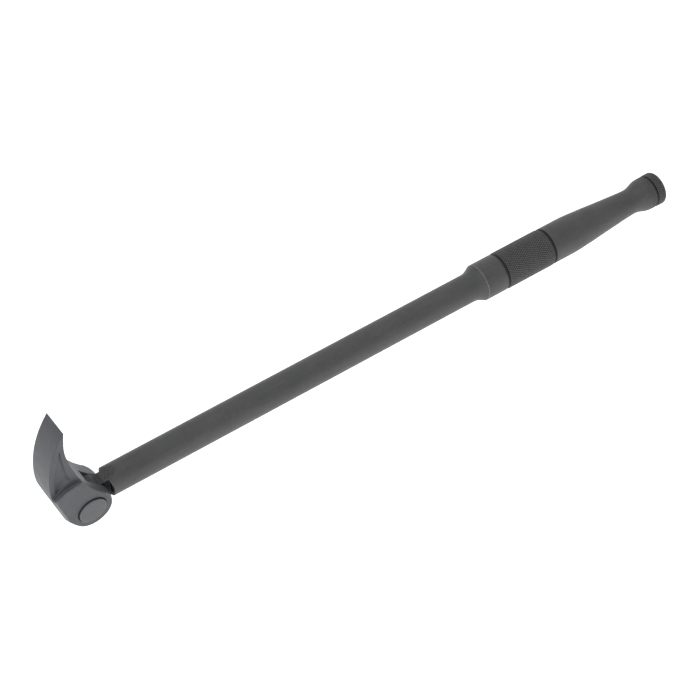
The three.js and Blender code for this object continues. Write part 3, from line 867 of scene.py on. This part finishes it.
# ------------------------------------------------------------------ materials
class Shader:
    """A material and short calls for its nodes. A value may be a number, a colour or a socket."""

    def __init__(self, name):
        self.material = bpy.data.materials.new(name)
        self.material.use_nodes = True
        self.tree = self.material.node_tree
        self.surface = self.tree.nodes["Principled BSDF"]
        self.place = self.tree.nodes.new("ShaderNodeTexCoord").outputs["Object"]

    def feed(self, socket, value):
        if isinstance(value, bpy.types.NodeSocket):
            self.tree.links.new(value, socket)
        elif socket.type == "RGBA":
            colour = value if isinstance(value, tuple) else (value,) * 3
            socket.default_value = (*colour, 1)
        else:
            socket.default_value = value

    def node(self, kind, inputs, **properties):
        node = self.tree.nodes.new(kind)
        for key, value in properties.items():
            setattr(node, key, value)
        for key, value in inputs.items():
            self.feed(node.inputs[key], value)
        return node

    def scaled(self, scale):
        inputs = {"Scale": scale, "Vector": self.place}
        return self.node("ShaderNodeMapping", inputs).outputs["Vector"]

    def noise(self, scale, detail=3.0, roughness=0.5, vector=None, distortion=0.0):
        return self.node("ShaderNodeTexNoise", {
            "Scale": scale, "Detail": detail, "Roughness": roughness, "Distortion": distortion,
            "Vector": self.place if vector is None else vector,
        }).outputs["Fac"]

    def ramp(self, source, *stops):
        """A grey ramp from stops of (position, grey)."""
        node = self.node("ShaderNodeValToRGB", {"Fac": source})
        elements = node.color_ramp.elements
        while len(elements) < len(stops):
            elements.new(0.5)
        for element, (position, grey) in zip(elements, stops):
            element.position = position
            element.color = (grey, grey, grey, 1)
        return node.outputs["Color"]

    def math(self, operation, a, b, clamp=False):
        inputs = {0: a, 1: b}
        node = self.node("ShaderNodeMath", inputs, operation=operation, use_clamp=clamp)
        return node.outputs[0]

    def add(self, a, b, clamp=False):
        return self.math("ADD", a, b, clamp)

    def times(self, a, b, clamp=False):
        return self.math("MULTIPLY", a, b, clamp)

    def mix(self, factor, a, b, blend_type="MIX"):
        inputs = {0: factor, 6: a, 7: b}  # 6 and 7 are the colour sockets
        node = self.node("ShaderNodeMix", inputs, data_type="RGBA", blend_type=blend_type)
        return node.outputs[2]

    def tint(self, factor, colour, by):
        return self.mix(factor, colour, by, "MULTIPLY")

    def attribute(self, name):
        return self.node("ShaderNodeAttribute", {}, attribute_name=name).outputs["Fac"]

    def set(self, name, value):
        self.feed(self.surface.inputs[name], value)


def steel(name, base, bright, shade_colour, metallic, rough, mottle, streak=None, bump=0.24,
          worn_from=0.35, worn_full=0.85, wear=0.8, recess_shade=0.7, skin_and_gap_shade=False):
    """Mottled steel with bright worn edges, painted shade in recesses, fine grain and smudges.

    rough is the range of roughness, mottle the swing in tone and streak the scale of the drawn
    lines. worn_from and worn_full are the "edge" values where wear starts and is full; wear is its
    strength, and the next strength sets how far the "cavity" values darken recesses as painted
    shade. The flag for the bar's end adds its rough skin and painted shade in the gap of its joint.
    """
    s = Shader(name)
    broad = s.noise(scale=55.0, roughness=0.55)
    mid = s.noise(scale=420.0, detail=4.0, roughness=0.6)
    fine = s.noise(scale=2600.0, detail=2.0)
    tone = s.add(s.times(broad, 0.55), s.times(mid, 0.45))
    tone = s.ramp(tone, (0.3, 1.0 - mottle), (0.5, 1.0), (0.72, 1.0 + mottle))
    colour = s.tint(1.0, base, tone)
    colour = s.tint(0.6, colour, s.ramp(fine, (0.36, 0.9), (0.6, 1.06)))
    height = s.times(fine, 0.6)
    if streak:
        lines = s.noise(scale=1.0, roughness=0.6, vector=s.scaled(streak))
        colour = s.tint(0.55, colour, s.ramp(lines, (0.32, 0.88), (0.7, 1.12)))
        height = s.add(height, s.times(lines, 0.8))
    if skin_and_gap_shade:
        skin = s.attribute("cast")
        pits = s.noise(scale=1150.0, roughness=0.65)
        pitted = s.tint(1.0, colour, s.ramp(pits, (0.38, 0.42), (0.5, 0.78), (0.62, 1.05)))
        colour = s.mix(skin, colour, pitted)
        height = s.add(height, s.times(s.times(pits, skin), 5.0))
        # painted shade: the faces inside the joint are darkened to 0.16 of their tone
        shaded_joint = s.attribute("gap_shade")
        colour = s.mix(shaded_joint, colour, s.tint(1.0, colour, 0.16))

    edge = s.attribute("edge")
    broken = s.noise(scale=900.0, roughness=0.6)  # breaks the wear into patches
    worn = s.times(
        s.ramp(edge, (worn_from, 0.0), (worn_full, 1.0)), s.ramp(broken, (0.34, 0.15), (0.62, 1.0))
    )
    worn = s.times(worn, wear, clamp=True)
    # painted shade: recesses are darkened towards the shade colour, by their "cavity" values
    shaded_recess = s.ramp(s.attribute("cavity"), (0.15, 0.0), (0.75, 1.0))
    colour = s.mix(s.times(shaded_recess, recess_shade, clamp=True), colour, shade_colour)
    s.set("Base Color", s.mix(worn, colour, bright))
    s.set("Metallic", s.add(s.times(worn, 0.5), metallic, clamp=True))

    smudge = s.noise(scale=130.0, detail=4.0, roughness=0.62, distortion=0.6)
    roughness = s.add(s.times(smudge, rough[1] - rough[0]), rough[0])
    s.set("Roughness", s.math("SUBTRACT", roughness, s.times(worn, 0.12), clamp=True))
    # the painted shade inside the joint also dims the reflections there
    specular = s.math("SUBTRACT", 0.5, s.times(shaded_joint, 0.42)) if skin_and_gap_shade else 0.5
    s.set("Specular IOR Level", specular)
    inputs = {"Strength": bump, "Distance": 0.00006, "Height": height}
    s.set("Normal", s.node("ShaderNodeBump", inputs).outputs["Normal"])
    return s.material


def paint(obj, material):
    if obj.material_slots:
        for slot in obj.material_slots:
            slot.material = material
    else:
        obj.data.materials.append(material)


bar_steel = steel(
    "phosphated_steel", base=(0.0640, 0.0637, 0.0635), bright=(0.30, 0.30, 0.30),
    shade_colour=(0.012, 0.012, 0.012), metallic=0.15, rough=(0.42, 0.62), mottle=0.17,
    streak=(60.0, 900.0, 900.0), worn_from=0.3, worn_full=0.95, wear=0.75, recess_shade=0.95, skin_and_gap_shade=True,
)
head_steel = steel(
    "satin_forged_steel", base=(0.0585, 0.0603, 0.0652), bright=(0.24, 0.242, 0.248),
    shade_colour=(0.036, 0.037, 0.038), metallic=0.2, rough=(0.40, 0.58), mottle=0.08,
    streak=(500.0, 500.0, 90.0), worn_from=0.32, worn_full=0.8, wear=0.5, recess_shade=0.12, bump=0.12,
)
button_steel = steel(
    "satin_button_steel", base=(0.079, 0.0805, 0.0842), bright=(0.24, 0.243, 0.25),
    shade_colour=(0.042, 0.042, 0.043), metallic=0.2, rough=(0.40, 0.55), mottle=0.06,
    worn_from=0.3, worn_full=0.9, wear=0.35, recess_shade=0.95,
)
cap_steel = steel(
    "satin_cap_steel", base=(0.078, 0.0795, 0.082), bright=(0.25, 0.25, 0.26),
    shade_colour=(0.02, 0.02, 0.02), metallic=0.2, rough=(0.4, 0.58), mottle=0.07, wear=0.5,
)
gear_steel = steel(
    "hardened_gear_steel", base=(0.30, 0.30, 0.31), bright=(0.5, 0.5, 0.5),
    shade_colour=(0.05, 0.05, 0.05), metallic=0.9, rough=(0.25, 0.4), mottle=0.06,
)
screw_steel = steel(
    "black_oxide_steel", base=(0.035, 0.035, 0.036), bright=(0.2, 0.2, 0.2),
    shade_colour=(0.01, 0.01, 0.01), metallic=0.6, rough=(0.3, 0.45), mottle=0.08,
)
spring_steel = steel(
    "oiled_spring_wire", base=(0.26, 0.26, 0.27), bright=(0.5, 0.5, 0.5),
    shade_colour=(0.05, 0.05, 0.05), metallic=0.95, rough=(0.18, 0.32), mottle=0.06,
)
ring_steel = steel(
    "phosphated_ring_steel", base=(0.045, 0.045, 0.047), bright=(0.22, 0.22, 0.22),
    shade_colour=(0.01, 0.01, 0.01), metallic=0.4, rough=(0.35, 0.5), mottle=0.08,
)

paint(turned, bar_steel)
paint(head, head_steel)
paint(button, button_steel)
paint(cap, cap_steel)
paint(spring, spring_steel)
paint(frame["nodes"]["lock_gear"], gear_steel)
paint(frame["nodes"]["button_screw"], screw_steel)
paint(frame["nodes"]["retaining_ring"], ring_steel)

# ------------------------------------------------------------------ floor, in metres
FLOOR_Z = -0.0782  # clears the blade, which swings down to 75 mm below the bar's axis
FLOOR_HALF = 6.0


def build_floor():
    mesh = bpy.data.meshes.new("floor")
    corners = [(-1, -1), (1, -1), (1, 1), (-1, 1)]
    vertices = [(x * FLOOR_HALF, y * FLOOR_HALF, 0) for x, y in corners]
    mesh.from_pydata(vertices, [], [[0, 1, 2, 3]])
    obj = bpy.data.objects.new("floor", mesh)
    obj.location = (0, 0, FLOOR_Z)
    bpy.context.scene.collection.objects.link(obj)
    s = Shader("pale_floor")
    clouds = s.ramp(s.noise(scale=3.0), (0.3, 0.985), (0.7, 1.0))
    s.set("Base Color", s.tint(1.0, (0.93, 0.93, 0.935), clouds))
    s.set("Roughness", 0.9)
    s.set("Specular IOR Level", 0.1)
    s.set("Emission Color", (1.0, 1.0, 1.0))  # a lit table, which keeps shadows on it faint
    s.set("Emission Strength", 0.62)
    paint(obj, s.material)
    return obj


floor = build_floor()

# ------------------------------------------------------------------ light and camera, in metres
world = bpy.data.worlds.new("studio")
bpy.context.scene.world = world
world.use_nodes = True
background = world.node_tree.nodes["Background"]
background.inputs["Color"].default_value = (0.99, 0.995, 1.0, 1)
background.inputs["Strength"].default_value = 0.65

LIGHT_TARGET = (-0.21, 0, 0.01)


def area_light(name, at, size, power, colour=(1, 1, 1)):
    light = bpy.data.lights.new(name, "AREA")
    light.shape = "RECTANGLE"
    light.size, light.size_y = size
    light.energy = power
    light.color = colour
    obj = bpy.data.objects.new(name, light)
    obj.location = at
    aim = Vector(LIGHT_TARGET) - Vector(at)
    obj.rotation_euler = aim.to_track_quat("-Z", "Y").to_euler()
    bpy.context.scene.collection.objects.link(obj)


area_light("overhead", at=(-0.25, 0.15, 1.25), size=(1.6, 1.2), power=3.0)
area_light("front", at=(-0.7, -1.5, 0.30), size=(1.6, 0.9), power=4.3)
area_light("left", at=(-1.5, -0.2, 0.6), size=(0.9, 0.8), power=3.0, colour=(0.82, 0.91, 1.0))
area_light("back_rim", at=(0.5, 1.2, 0.8), size=(1.4, 0.6), power=2.0)

CAMERA_AT = (-0.76762, -0.68823748, 1.06094028)
# The camera's own axes in the frame: right, up, and back towards the viewer
CAMERA_AXES = (
    (0.81290789, -0.58166422, 0.02911194),
    (0.43518705, 0.63989719, 0.63335915),
    (-0.38703101, -0.50219352, 0.7733102),
)
lens = bpy.data.cameras.new("camera")
lens.lens = 119.365714
lens.sensor_width = 36.0
lens.clip_start = 0.01
lens.clip_end = 20.0
camera = bpy.data.objects.new("camera", lens)
bpy.context.scene.collection.objects.link(camera)
facing = Matrix(CAMERA_AXES).transposed().to_4x4()
camera.matrix_world = Matrix.Translation(CAMERA_AT) @ facing
bpy.context.scene.camera = camera
bpy.context.scene.view_settings.view_transform = "Standard"
bpy.context.scene.view_settings.look = "None"
